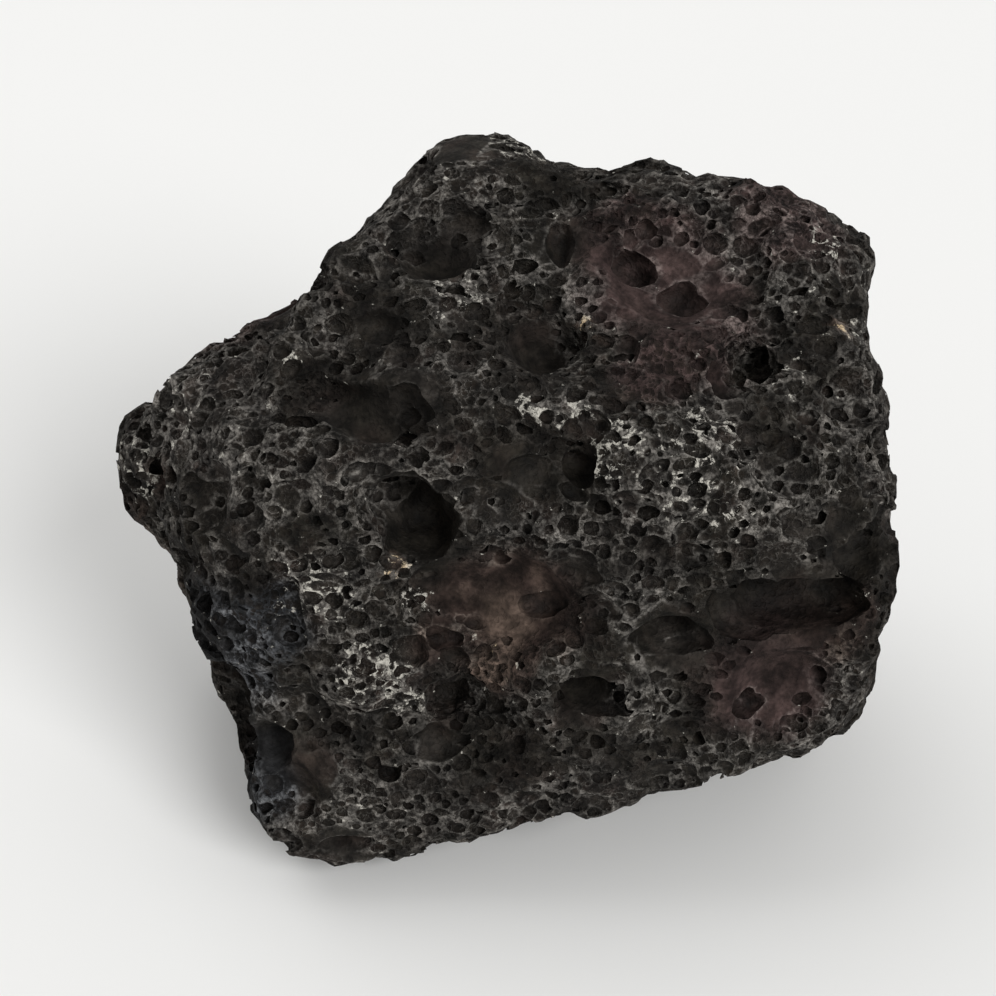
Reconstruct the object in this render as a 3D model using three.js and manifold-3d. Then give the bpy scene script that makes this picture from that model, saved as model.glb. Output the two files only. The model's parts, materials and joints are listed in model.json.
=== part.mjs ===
// A loose piece of lava rock: dark scoria, a basalt that froze while gas was still leaving it.
// It is one solid: a blocky lump with broken faces, swollen and dented a little, that stands on
// its flattest broken face. The larger gas bubbles that broke through the skin are hollows in it.
// Units are millimetres, +Z is up, the face with the largest hollows looks towards -Y, and the
// origin is the middle of the lump's outline, on the surface that it stands on.
import * as THREE from "three";
import { ImprovedNoise } from "three/addons/math/ImprovedNoise.js";
import { mergeVertices } from "three/addons/utils/BufferGeometryUtils.js";
import Module from "manifold-3d";

// Driving dimensions. The rock that the lists below draw is scaled to WIDTH across at the end.
const WIDTH = 163;
const HEART_HEIGHT = 67; // of the point inside the lump that the lists are measured from
const SKIN_DETAIL = 10; // the lump's skin starts with 20 * (detail + 1)^2 faces
const HOLLOW_DETAIL = 2; // the same, for a hollow HOLLOW_DETAIL_WIDTH across
const HOLLOW_DETAIL_WIDTH = 20;
const HOLLOW_UNEVENNESS = 0.22; // height of the waves of a hollow's wall, in radii
const HOLLOW_WAVELENGTH = 0.77; // in radii
const SHALLOW_LIFT = 0.45; // of the shallowest hollow's centre above the skin, in radii
const ROUND_LIFT = -0.35; // the same, for a hollow as deep as it is wide
const CORNER_SHARPNESS = 15; // how suddenly one broken face turns into the next
const SLOPE_STEP = 4; // degrees each way over which the slope of the skin is measured
const SAME_POINT = 1e-4; // vertices closer than this are one

// Broken faces: azimuth and elevation of the way each one looks, in degrees, and its distance
// from the heart. Azimuth 0 is +X and 90 is +Y.
const BROKEN_FACES = [
  [-90, 10, 44], // front
  [-90, 67, 51], // sloping top
  [90, 25, 68], // back, upper
  [90, -10, 64], // back, lower
  [0, -90, 70], // underside
  [-4, -4, 81], // right
  [4, 12, 87], // right, upper
  [50, 0, 76], // back right
  [-66, -47, 66], // front right, undercut
  [-112, -52, 82], // front foot
  [196, -22, 69], // left, lower
  [184, 0, 69], // left
  [157, 29, 73], // left, upper
  [142, 42, 62], // left shoulder
  [68, 53, 72], // top right
  [130, -5, 72], // back left
  [-135, 5, 64], // front left
  [-45, 8, 86], // front right
  [-40, 40, 74], // front right, upper
  [-130, 45, 60], // front left, upper
];

// Swells and dents: azimuth and elevation of the middle, spread in degrees, and height.
const SWELLS = [
  [174, 6, 10, 12], // left shoulder
  [150, 38, 8, -2], // saddle between the shoulder and the crown
  [98, 54, 12, 7], // crown
  [68, 54, 6, -5], // notch beside the crown
  [28, 33, 15, 8], // top right corner
  [58, 50, 12, 2], // top right edge
  [-131, -41, 13, 6], // front foot
];

// Waves of the skin: wavelength and height, coarse ones first.
const WAVES = [
  [46, 5],
  [21, 2.2],
];

// Hollows left by gas bubbles: azimuth and elevation of the mouth, its width, height and depth,
// its turn in degrees anticlockwise as seen from outside, and how far it lies below the skin,
// which is 0 unless it opens in the floor of a larger hollow.
const HOLLOWS = [
  // front and top
  [-111, 30, 14, 17, 13, 24, 0],
  [-116, 34, 12, 11, 7, 0, 0],
  [-18, 41, 10, 14, 12, 0, 2],
  [-82, 8, 47, 28, 8, -4, 0],
  [-80, 8, 15, 9, 3, 0, 6],
  [3, 55, 37, 33, 8, 0, 0],
  [12, 64, 11, 9, 4, 0, 5],
  [-4, 55, 10, 9, 4, 0, 6],
  [-36, 4, 24, 11, 10, 0, 0],
  [-38, -10, 30, 24, 6, 0, 0],
  [-26, 10, 17, 11, 10, 14, 0],
  [-69, -14, 13, 8, 9, 4, 0],
  [-135, 48, 32, 13, 8, 4, 0],
  [143, 76, 24, 20, 7, 0, 0],
  [-45, 73, 15, 12, 6, 0, 0],
  [-65, 42, 12, 9, 6, 0, 0],
  [-147, -19, 14, 9, 8, 0, 0],
  [-135, -24, 11, 10, 7, 0, 0],
  [-129, -30, 14, 16, 6, 0, 0],
  [-98, -20, 14, 12, 6, 0, 0],
  [-120, -40, 10, 6, 5, 0, 0],
  [-53, -1, 15, 8, 6, 0, 0],
  [-25, -3, 8, 8, 6, 0, 0],
  [-9, 42, 17, 14, 4, 0, 0],
  [-15, 27, 16, 14, 4, 0, 0],
  [-133, 6, 12, 13, 4, 0, 0],
  // back
  [78, 8, 36, 26, 8, 12, 0],
  [112, 20, 15, 17, 13, 0, 0],
  [58, 28, 13, 9, 7, 20, 0],
  [96, -24, 23, 14, 7, -8, 0],
  [124, -6, 13, 11, 7, 0, 0],
  [48, -10, 18, 23, 7, 10, 0],
  [136, 22, 9, 12, 6, 0, 0],
  [100, 42, 15, 10, 6, 15, 0],
  [141, -28, 16, 11, 6, 0, 0],
  // right
  [20, 6, 27, 20, 7, 30, 0],
  [33, -22, 12, 10, 8, 0, 0],
  [2, -24, 16, 12, 6, 0, 0],
  // left
  [164, -9, 25, 18, 7, 0, 0],
  [192, 13, 11, 9, 7, 0, 0],
  [201, -9, 9, 12, 7, 0, 0],
  [176, -33, 14, 11, 6, 0, 0],
  [151, 14, 12, 9, 7, 0, 0],
  // underside
  [62, -63, 22, 15, 6, 0, 0],
  [198, -62, 16, 12, 6, 0, 0],
  [-28, -60, 14, 10, 6, 0, 0],
];

const UP = new THREE.Vector3(0, 0, 1);
const noise = new ImprovedNoise();
const wasm = await Module();
wasm.setup();

// The unit vector that looks along an azimuth and elevation in degrees.
function heading(azimuth, elevation) {
  const a = THREE.MathUtils.degToRad(azimuth);
  const e = THREE.MathUtils.degToRad(elevation);
  return new THREE.Vector3(Math.cos(e) * Math.cos(a), Math.cos(e) * Math.sin(a), Math.sin(e));
}

const faces = BROKEN_FACES.map(([azimuth, elevation, distance]) => ({
  normal: heading(azimuth, elevation),
  distance,
}));
const swells = SWELLS.map(([azimuth, elevation, spread, height]) => ({
  middle: heading(azimuth, elevation),
  spread: THREE.MathUtils.degToRad(spread),
  height,
}));

// Distance from the heart to the skin along a unit vector: the broken faces with their corners
// rounded, then the swells and the waves.
function reach(direction) {
  let sum = 0;
  for (const { normal, distance } of faces)
    sum += Math.max(0, normal.dot(direction) / distance) ** CORNER_SHARPNESS;
  let r = sum ** (-1 / CORNER_SHARPNESS);
  for (const { middle, spread, height } of swells)
    r += height * Math.exp(-((middle.angleTo(direction) / spread) ** 2));
  const p = direction.clone().multiplyScalar(r);
  for (const [wavelength, height] of WAVES)
    r += height * noise.noise(p.x / wavelength, p.y / wavelength, p.z / wavelength);
  return r;
}

// The point of the skin along an azimuth and elevation, and the way the skin faces there.
function skinAt(azimuth, elevation) {
  const at = (a, e) => {
    const direction = heading(a, e);
    return direction.multiplyScalar(reach(direction));
  };
  const point = at(azimuth, elevation);
  const along = at(azimuth + SLOPE_STEP, elevation).sub(at(azimuth - SLOPE_STEP, elevation));
  const upward = at(azimuth, elevation + SLOPE_STEP).sub(at(azimuth, elevation - SLOPE_STEP));
  return { point, outward: along.cross(upward).normalize() };
}

// A closed geometry as a manifold-3d solid.
function toSolid(geometry) {
  const bare = new THREE.BufferGeometry();
  bare.setAttribute("position", geometry.getAttribute("position"));
  if (geometry.index) bare.setIndex(geometry.index);
  const merged = mergeVertices(bare, SAME_POINT);
  return new wasm.Manifold(
    new wasm.Mesh({
      numProp: 3,
      vertProperties: new Float32Array(merged.getAttribute("position").array),
      triVerts: new Uint32Array(merged.index.array),
    }),
  );
}

// A solid's vertices and triangles as a geometry.
function toGeometry(solid) {
  const { vertProperties, triVerts } = solid.getMesh();
  const geometry = new THREE.BufferGeometry();
  geometry.setAttribute("position", new THREE.BufferAttribute(vertProperties, 3));
  geometry.setIndex(new THREE.BufferAttribute(triVerts, 1));
  geometry.computeVertexNormals();
  return geometry;
}

// The lump before any gas bubble opens in it.
function lump() {
  const geometry = new THREE.IcosahedronGeometry(1, SKIN_DETAIL);
  const position = geometry.getAttribute("position");
  const v = new THREE.Vector3();
  for (let i = 0; i < position.count; i++) {
    v.fromBufferAttribute(position, i).normalize();
    v.multiplyScalar(reach(v));
    position.setXYZ(i, v.x, v.y, v.z);
  }
  return toSolid(geometry);
}

// The space that a bubble takes out of the lump: an uneven ellipsoid. A shallow one is centred
// outside the skin, and a deep one inside it, so that it widens below its mouth.
function bubble([azimuth, elevation, width, height, depth, turn, below]) {
  const { point, outward } = skinAt(azimuth, elevation);
  const roundness = Math.min(1, depth / Math.min(width, height));
  const lift = THREE.MathUtils.lerp(SHALLOW_LIFT, ROUND_LIFT, roundness);
  const mouth = Math.sqrt(1 - lift * lift); // radius of the mouth, in radii
  const radius = new THREE.Vector3(width / 2 / mouth, height / 2 / mouth, depth / (1 - lift));
  const relativeWidth = Math.max(width, height) / HOLLOW_DETAIL_WIDTH;
  const detail = Math.round(HOLLOW_DETAIL * Math.sqrt(relativeWidth));
  const geometry = new THREE.IcosahedronGeometry(1, detail);
  const position = geometry.getAttribute("position");
  const seed = new THREE.Vector3(azimuth, elevation, 0); // so that no two are alike
  const v = new THREE.Vector3();
  const p = new THREE.Vector3();
  for (let i = 0; i < position.count; i++) {
    v.fromBufferAttribute(position, i).normalize();
    p.copy(v).divideScalar(HOLLOW_WAVELENGTH).add(seed);
    v.multiplyScalar(1 + HOLLOW_UNEVENNESS * noise.noise(p.x, p.y, p.z));
    position.setXYZ(i, v.x, v.y, v.z);
  }
  const right = UP.clone().cross(outward).normalize();
  const over = outward.clone().cross(right);
  const matrix = new THREE.Matrix4()
    .makeBasis(right, over, outward)
    .setPosition(point.addScaledVector(outward, lift * radius.z - below))
    .multiply(new THREE.Matrix4().makeRotationZ(THREE.MathUtils.degToRad(turn)))
    .scale(radius);
  return toSolid(geometry.applyMatrix4(matrix));
}

// The flat patch that the rock stands on, as the half space above it.
function aboveGround() {
  const size = 3 * WIDTH;
  const geometry = new THREE.BoxGeometry(size, size, size);
  geometry.translate(0, 0, size / 2 - HEART_HEIGHT);
  return toSolid(geometry);
}

// The largest body of a solid: bubbles that cross can leave crumbs.
function largestBody(solid) {
  return solid.decompose().reduce((a, b) => (a.volume() > b.volume() ? a : b));
}

function rockGeometry() {
  let solid = lump().intersect(aboveGround());
  for (const hollow of HOLLOWS) solid = solid.subtract(bubble(hollow));
  const geometry = toGeometry(largestBody(solid));
  geometry.computeBoundingBox();
  const { min, max } = geometry.boundingBox;
  geometry.translate(-(min.x + max.x) / 2, -(min.y + max.y) / 2, -min.z);
  const scale = WIDTH / (max.x - min.x);
  return geometry.scale(scale, scale, scale);
}

const lavaRock = new THREE.Mesh(
  rockGeometry(),
  new THREE.MeshStandardMaterial({ color: 0x3b3735, roughness: 0.95, metalness: 0 }),
);
lavaRock.name = "lava_rock";

const part = new THREE.Group();
part.add(lavaRock);

export default part;
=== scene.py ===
"""A loose block of scoria: dark basalt froth that set around its gas bubbles, on a pale floor."""

import functools
import itertools
import json
import math
import random

import bmesh
import bpy
from mathutils import Matrix, Vector, noise
from mathutils.bvhtree import BVHTree

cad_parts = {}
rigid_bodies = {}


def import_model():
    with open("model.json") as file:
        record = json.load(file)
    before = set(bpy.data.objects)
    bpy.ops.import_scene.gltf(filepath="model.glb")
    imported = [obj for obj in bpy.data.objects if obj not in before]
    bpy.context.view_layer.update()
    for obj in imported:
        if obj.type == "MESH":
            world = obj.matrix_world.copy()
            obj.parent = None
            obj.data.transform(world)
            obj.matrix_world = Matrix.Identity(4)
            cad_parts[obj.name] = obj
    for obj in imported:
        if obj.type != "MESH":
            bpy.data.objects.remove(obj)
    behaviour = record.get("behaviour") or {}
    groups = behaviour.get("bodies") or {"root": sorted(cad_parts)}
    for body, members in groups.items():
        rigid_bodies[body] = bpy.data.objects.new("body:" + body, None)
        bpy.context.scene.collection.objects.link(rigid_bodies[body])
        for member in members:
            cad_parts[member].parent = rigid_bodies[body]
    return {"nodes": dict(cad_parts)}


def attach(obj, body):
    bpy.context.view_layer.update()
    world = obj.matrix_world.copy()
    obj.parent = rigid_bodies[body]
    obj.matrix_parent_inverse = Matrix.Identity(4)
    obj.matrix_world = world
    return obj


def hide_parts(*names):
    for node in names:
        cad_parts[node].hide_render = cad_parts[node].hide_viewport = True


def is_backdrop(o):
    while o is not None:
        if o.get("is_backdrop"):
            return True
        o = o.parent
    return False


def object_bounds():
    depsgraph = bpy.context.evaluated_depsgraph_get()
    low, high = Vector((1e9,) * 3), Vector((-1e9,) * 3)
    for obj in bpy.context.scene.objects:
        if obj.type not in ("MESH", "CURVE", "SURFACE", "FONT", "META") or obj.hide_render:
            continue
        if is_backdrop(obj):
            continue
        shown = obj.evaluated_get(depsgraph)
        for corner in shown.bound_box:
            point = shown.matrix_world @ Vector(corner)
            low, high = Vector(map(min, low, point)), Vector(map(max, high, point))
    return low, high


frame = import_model()
cad_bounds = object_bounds()

MM = 0.001
LOW, HIGH = cad_bounds
SIZE = HIGH - LOW

# The heart of the block, in shares of its sides: every heading is given from here.
HEART = Vector((-0.009 * SIZE.x, -0.060 * SIZE.y, 0.5 * SIZE.z))

# Skin
WELD = 0.001 * MM
SKIN_SQUARES = 1.15 * MM
ROUNDING = (0.5, 9)  # strength and passes
SETTLING = (0.6, 9)  # the same, for the smoother skin that ridges are measured from
CALM = 0.7  # how much flatter than the rest a smooth wall is
PATCH_EDGE = (0.6, 1.1)  # where a round patch fades out, in reaches from its middle
MOST_TRIANGLES = 198000
MENDING_ROUNDS = 12
CRISP_ANGLE = math.radians(42)
SOFT_EDGE = 3 * MM

# What breaks the rounded skin up: noise, its wavelength and its height in mm.
ROUGHNESS = [
    ("swells", "ORIGINAL_PERLIN", 26, 7.0),
    ("lumps", "ORIGINAL_PERLIN", 11, 4.2),
    ("chips", "VORONOI_F2_F1", 9, -2.4),
    ("crumbs", "ORIGINAL_PERLIN", 4.5, 2.2),
]

# Broad dips and swellings of the skin: azimuth, elevation, reach in mm, rise in mm.
SWALES = [
    (172, 42, 22, -9.0),
    (-165, 38, 15, -4.0),
    (7, 25, 14, -5.5),
    (-152, 56, 18, -6.5),
    (-120, 46, 14, -4.5),
    (-38, 72, 17, -5.0),
    (-73, 39, 14, -4.0),
    (-92, -25, 14, -4.5),
    (136, 75, 12, -3.5),
    (-148, -28, 15, -5.0),
    (-48, -2, 11, -3.0),
    (-147, 30, 12, 2.5),
    (-48, 32, 16, 3.0),
    (-118, -12, 13, 3.0),
    (-15, 22, 12, 2.0),
    (-62, -17, 10, 2.0),
    (-93, -42, 9, 1.5),
    (-63, -39, 9, 1.5),
    (-46, -25, 9, 1.5),
    (62, 10, 22, -5.0),
    (105, 35, 20, -4.5),
    (140, -10, 20, -5.0),
    (100, -25, 18, 3.0),
    (20, 20, 16, -3.0),
    (75, 45, 15, 2.5),
    (145, 5, 17, -4.5),
    (120, 12, 12, 2.5),
    (60, -35, 16, -3.5),
    (45, -8, 14, 3.0),
    (180, 5, 14, 1.0),
    (-178, -25, 16, -4.0),
]

# The large hollows: azimuth and elevation of the mouth, its width, height and depth in mm, its
# turn in degrees anticlockwise as seen from outside, and the finish of its wall. Grey is plain;
# the darkest finish is painted shade down the hollow and round it.
HOLLOWS = [
    (-111, 33, 12.5, 12, 7, 20, "grey"),
    (-108, 27, 13.5, 14, 15.5, 24, "painted_shade"),
    (-36, 4, 26, 11, 14, 0, "painted_shade"),
    (-26, 10, 17, 12, 10, 20, "painted_shade"),
    (-69, -14, 13, 6, 9, 4, "painted_shade"),
    (-147, -19, 15, 10, 9, 0, "painted_shade"),
    (-135, -24, 12, 11, 8, 0, "painted_shade"),
    (-53, -1, 16, 8, 7, 0, "grey"),
    (-25, -3, 8, 9, 7, 0, "painted_shade"),
    (30, 75, 6, 11, 7, 0, "grey"),
    (-120, -40, 11, 5, 5, 0, "grey"),
    (112, 20, 15, 17, 14, 0, "painted_shade"),
    (58, 28, 13, 9, 8, 20, "brown"),
    (124, -6, 13, 11, 8, 0, "grey"),
    (33, -22, 12, 10, 9, 0, "painted_shade"),
    (192, 13, 11, 9, 8, 0, "brown"),
    (201, -9, 9, 12, 8, 0, "grey"),
    (95, 45, 16, 10, 8, 10, "grey"),
    (150, 34, 14, 9, 9, -15, "painted_shade"),
    (65, -30, 11, 8, 6, 0, "mauve"),
    (135, -28, 13, 7, 7, 10, "painted_shade"),
    (45, 5, 15, 11, 9, 15, "painted_shade"),
    (178, 38, 13, 10, 8, 0, "grey"),
    (183, -28, 12, 8, 7, 10, "painted_shade"),
]

# Smaller ones, cut after the large hollows and often inside one, given the same way.
DIMPLES = [
    (19, 59, 11, 8, 2.8, -15, "mauve"),
    (3, 51, 9.5, 8.5, 2.8, 0, "mauve"),
    (-20, 39, 7.5, 10, 8, 0, "painted_shade"),
    (-42, -14, 8, 6, 4, 0, "mauve"),
    (-37, -16, 6, 4.5, 3, 0, "mauve"),
    (-102, -3, 9, 4.5, 3.5, -12, "brown"),
    (-75, 3, 9, 6, 2.2, 15, "brown"),
    (-103, -28, 10, 8, 4, 0, "grey"),
    (-158, 64, 10, 8, 3.5, 0, "grey"),
    (-63, 40, 9, 6.5, 4, -20, "painted_shade"),
    (-80, 40, 12, 9, 2.5, 0, "grey"),
    (-120, 53, 12, 8, 3.0, 10, "grey"),
    (85, 8, 10, 7, 3, 20, "brown"),
    (70, -5, 8, 8, 4, 0, "brown"),
    (95, -26, 7, 6, 3, 0, "mauve"),
    (20, 8, 8, 6, 3, 0, "mauve"),
    (165, -8, 9, 6, 3, 0, "brown"),
]

# Smooth-walled hollows that the solid already has: azimuth, elevation, reach in mm, finish, the
# darkest finish being painted shade as in the large hollows.
SMOOTH_WALLS = [
    (-81, 6, 13, "brown"),
    (-98, 8, 8, "brown"),
    (3, 55, 17, "mauve"),
    (-38, -10, 14, "mauve"),
    (-111, 26, 12, "painted_shade"),
    (-135, 48, 12, "grey"),
    (143, 76, 10, "grey"),
    (-45, 73, 8, "grey"),
    (-129, -30, 9, "grey"),
    (78, 8, 15, "brown"),
    (96, -24, 11, "mauve"),
    (20, 6, 12, "mauve"),
    (164, -9, 12, "brown"),
    (145, 5, 13, "grey"),
    (60, 36, 11, "mauve"),
    (100, 62, 9, "grey"),
    (100, -5, 9, "grey"),
]

# Stained stretches of skin: azimuth, elevation, reach in mm, stain. The darkening rows are painted
# shade in hollows and dips, and the rows that pale the ridges partly paint a highlight.
STAINS = [
    (9, 56, 19, "mauve"),
    (-17, 48, 14, "mauve"),
    (-32, 50, 10, "mauve"),
    (22, 60, 13, "mauve"),
    (14, 44, 15, "mauve"),
    (-37, -13, 11, "mauve"),
    (96, -24, 16, "mauve"),
    (150, 20, 22, "mauve"),
    (20, 6, 20, "mauve"),
    (-93, 10, 9, "brown"),
    (-75, 3, 12, "brown"),
    (-87, -8, 10, "brown"),
    (-106, -5, 6, "brown"),
    (-32, 1, 10, "brown"),
    (-87, 0, 5, "ochre"),
    (-86, -5, 6, "ochre"),
    (-89, -11, 5, "ochre"),
    (-113, 18, 3.5, "ochre"),
    (-25, 67, 3.5, "ochre"),
    (-6, 34, 3.0, "ochre"),
    (85, 2, 8, "ochre"),
    (170, -14, 7, "ochre"),
    (110, 40, 4, "ochre"),
    (85, 5, 26, "brown"),
    (175, -12, 24, "brown"),
    (-147, -8, 17, "blue"),
    (-136, 0, 11, "blue"),
    (-140, -30, 14, "blue"),
    (40, -20, 24, "blue"),
    # These rows darken hollows and dips as painted shade
    (-157, 64, 10, "painted_shade"),
    (-119, 54, 13, "painted_shade"),
    (-148, 48, 11, "painted_shade"),
    (-38, 71, 10, "painted_shade"),
    (-72, 2, 8, "painted_shade"),
    (-141, 14, 9, "painted_shade"),
    (-150, -9, 13, "painted_shade"),
    (-78, 39, 13, "painted_shade"),
    (-63, 40, 7, "painted_shade"),
    (-95, -25, 11, "painted_shade"),
    (-84, -28, 9, "painted_shade"),
    (-55, 17, 8, "painted_shade"),
    (-47, -3, 10, "painted_shade"),
    (-25, 5, 10, "painted_shade"),
    (-30, 0, 11, "painted_shade"),
    (-37, 3, 11, "painted_shade"),
    (-35, -6, 8, "painted_shade"),
    (-149, -25, 15, "painted_shade"),
    (-147, -34, 14, "painted_shade"),
    (136, 75, 10, "painted_shade"),
    (37, 70, 10, "painted_shade"),
    (53, 67, 10, "painted_shade"),
    (62, 10, 16, "painted_shade"),
    (140, -10, 16, "painted_shade"),
    (105, 32, 13, "painted_shade"),
    # These rows pale the ridges more, partly as a painted highlight
    (-166, 25, 13, "paler_ridges"),
    (-147, 31, 13, "paler_ridges"),
    (-133, 35, 12, "paler_ridges"),
    (106, 71, 10, "paler_ridges"),
    (126, 68, 10, "paler_ridges"),
    (-167, 79, 7, "paler_ridges"),
    (-60, 53, 6, "paler_ridges"),
    (-51, 40, 9, "paler_ridges"),
    (-45, 29, 13, "paler_ridges"),
    (-15, 22, 14, "paler_ridges"),
    (8, 43, 15, "paler_ridges"),
    (16, 52, 13, "paler_ridges"),
    (-117, -10, 11, "paler_ridges"),
    (-121, -33, 10, "paler_ridges"),
    (-125, 7, 9, "paler_ridges"),
    (-60, -17, 9, "paler_ridges"),
    (-35, -18, 8, "paler_ridges"),
    (-93, -41, 9, "paler_ridges"),
    (-63, -38, 9, "paler_ridges"),
    (-46, -24, 10, "paler_ridges"),
    (-139, 26, 10, "paler_ridges"),
    (-59, 9, 8, "paler_ridges"),
    (85, 30, 20, "paler_ridges"),
    (100, -25, 15, "paler_ridges"),
    (35, 35, 18, "paler_ridges"),
    (180, 25, 18, "paler_ridges"),
]

# Where white mineral settled on the rims: azimuth, elevation, reach in mm, and how thickly.
CRUST_PATCHES = [
    (-126, 10, 7, 0.85),
    (-131, 4, 6, 0.7),
    (-112, 5, 4.5, 1.0),
    (-117, -9, 9.5, 1.05),
    (-110, -18, 5.5, 0.95),
    (-129, 14, 7, 0.7),
    (-134, 3, 7, 0.7),
    (-113, 18, 3, 1.2),
    (-25, 67, 2.5, 1.2),
    (-6, 34, 2.0, 1.1),
    (110, 40, 3, 1.2),
    (-77, 54, 5, 1.0),
    (-64, 49, 5, 1.0),
    (-57, 41, 8, 0.95),
    (-44, 31, 12, 0.68),
    (-37, 37, 7, 0.85),
    (-42, 23, 6, 0.85),
    (8, 40, 5, 1.1),
    (-4, 32, 3, 0.8),
    (-16, 37, 3.5, 1.0),
    (-160, 47, 5, 1.0),
    (-146, 82, 7, 0.6),
    (-168, 28, 10, 0.4),
    (106, 71, 8, 0.4),
    (120, 30, 14, 0.8),
    (60, 5, 11, 0.7),
    (185, 10, 11, 0.8),
    (80, 60, 9, 0.8),
    (30, -5, 8, 0.7),
]

# Bubbles, in rounds: each round cuts into what the one before left. Radii in mm (from, to), how
# many are tried, how much neighbours may overlap, how far the middle lies above the skin in radii
# (from, to), and the subdivisions of the ball that cuts it.
BUBBLE_ROUNDS = [
    [
        (6.0, 9.0, 160, 0.35, 0.45, 0.85, 4),
        (4.5, 6.0, 380, 0.35, 0.40, 0.85, 3),
        (2.8, 4.5, 1200, 0.30, -0.15, 0.72, 3),
    ],
    [
        (1.8, 2.8, 4500, 0.25, -0.45, 0.65, 2),
        (1.1, 1.8, 24000, 0.20, -0.6, 0.5, 2),
        (0.8, 1.1, 24000, 0.05, -0.6, 0.2, 1),
    ],
]

SMALL_ONES = 1.6  # the higher, the more of a round's bubbles are near its smallest
STRETCH = (1.0, 1.4)  # a bubble's length against its roundness
TURN = 0.5  # most that it is turned about Y and about Z, in radians
SWING = 0.6
UNEVENNESS = [(1.1, 0.32), (2.6, 0.12)]  # noise on a ball of radius 1: its fineness and height
NOISE_SPAN = 90  # how far apart the noise of two balls may be taken
MOULDS = 9  # different balls of each number of subdivisions
BALL_REACH = 1.3  # how far a ball reaches from its middle, in radii
HOLLOW_REACH = 0.7  # the same for a hollow, in widths
HOLLOW_SUBDIVISIONS = 4
LIFT = 0.75  # how high over the skin the middle of a flat hollow's ball lies, in depths of the ball
DROP = 1.1  # how much lower it lies where the hollow is as deep as it is wide

# How many of the bubbles that are tried open up: on average, how much that changes over the skin,
# and over what length in mm.
BOWL_FROTH = (0.72, 1.2, 18)
BUBBLE_FROTH = (0.62, 1.3, 12)
FEWER_INSIDE = (0.8, 0.8, 2.5)  # share lost in a bowl, and the depths in mm that it comes in over

# Marks that the material reads
STAIN_KINDS = ("brown", "mauve", "blue", "painted_shade", "paler_ridges", "ochre")
DRIFTS = [("tone", 17), ("paling", 13), ("rust", 10), ("cloud", 5)]  # with their wavelength in mm
DRIFT_SHIFT = 7.3  # keeps the noise of one drift away from the next
DRIFT_NOISE = (1.0, 2.0, 3)  # how fast the noise gets finer and lower, and its octaves
WALL_DEPTH = 0.5  # how far down its hollow the middle of a smooth wall lies, in depths
WALL_REACH = 0.62  # its reach, in widths of the hollow
WALL_STAIN = 1.1  # the reach of its stain, in reaches of the wall
RAGGED = (6, 3)  # wavelength and height in mm of a patch's outline
CREST_FOLD = (0.35, 1.0)  # outward folds that count as a rim, in radians

# Bubbles too fine for the mesh: spacing in mm, width (1 is usual) and depth in mm
VESICLE_LAYERS = [
    (1.9, 0.95, 0.5),
    (0.9, 0.95, 0.25),
]
VESICLE_RADII = (0.26, 0.68)  # smallest and largest, in spacings
VESICLE_RIM = (1.12, 0.28)  # where the rim lies and how wide it is, in radii
RIM_HEIGHT = 0.25  # in depths of the bubble
RAGGED_MOUTHS = (1.6, 1.1)  # wavelength and reach in mm

# Fine noise: size of its lumps in mm, and roughness
FINE_GRAIN = (0.8, 0.65)
MOTTLE_GRAIN = (3.2, 0.6)
GRAIN_HEIGHT = 0.5  # in mm
LEAST_BUMP = 0.28  # the share of the bump that smooth walls keep

# Crust: its clumps in mm, how much cover and ridges add to the noise, and the levels that show
CRUST_CLUMP = 2.2
COVER_LIFT = 0.15
RIDGE_LIFT = 0.12
CRUST_LEVELS = (0.745, 0.825)

# Colours, as the share of red, green and blue light that they send back
CHARCOAL = (0.0213, 0.0187, 0.0163)
OLIVE = (0.0158, 0.0140, 0.0110)
# Near black that pits, crevices, deep bubble walls and shaded hollows are painted towards, as
# painted shade
SHADE_COLOUR = (0.0074, 0.0055, 0.0040)
# Pale grey that the ridges are paled towards, partly as wear and partly as a painted highlight
ASH = (0.118, 0.110, 0.100)
ROSE = (0.128, 0.096, 0.090)
STEEL = (0.092, 0.100, 0.112)
BROWN = (0.0300, 0.0192, 0.0162)
MAUVE = (0.0410, 0.0262, 0.0245)
BLUE = (0.0150, 0.0165, 0.0190)
OCHRE = (0.110, 0.079, 0.062)
CHALK = (0.47, 0.45, 0.40)
AMBER = (0.58, 0.45, 0.29)
PALE_FLOOR = (0.86, 0.86, 0.85)
SKY_LIGHT = (1.0, 0.995, 0.985)

# The range of its mark that each thing comes in over: relief and depth in mm, drifts from -1 to 1
CHARCOAL_RANGE = (-0.45, 0.45)
RUST_RANGE = (0.05, 0.65)
VEIN_RANGE = (0.1, 0.6)
CREVICE_RANGE = (0.2, -0.9)
DEEP_WALL_RANGE = (0.2, 3.2)
CREST_RANGE = (0.45, 1.0)
RISE_RANGE = (0.25, 1.0)

# How far each thing carries the colour, from 0 to 1
RUST_SHARE = 0.42
STAIN_SHARE = 0.85
VEIN_SHARE = 0.2
OCHRE_SHARE = 0.8
# The pit, crevice, deep wall and shade patch shares darken the colour as painted shade
PIT_SHARE = 0.9
CREVICE_SHARE = 0.55
DEEP_WALL_SHARE = 0.75
SHADE_PATCH_SHARE = 0.42
# Crests, fine rims and high ground are paled, partly as wear and partly as a painted highlight
CREST_SHARE = 0.95
FINE_RIM_SHARE = 0.5
RISE_SHARE = 0.35
PALE_SHARES = [("mauve", 0.7, ROSE), ("brown", 0.6, OCHRE), ("blue", 0.7, STEEL)]

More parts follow.
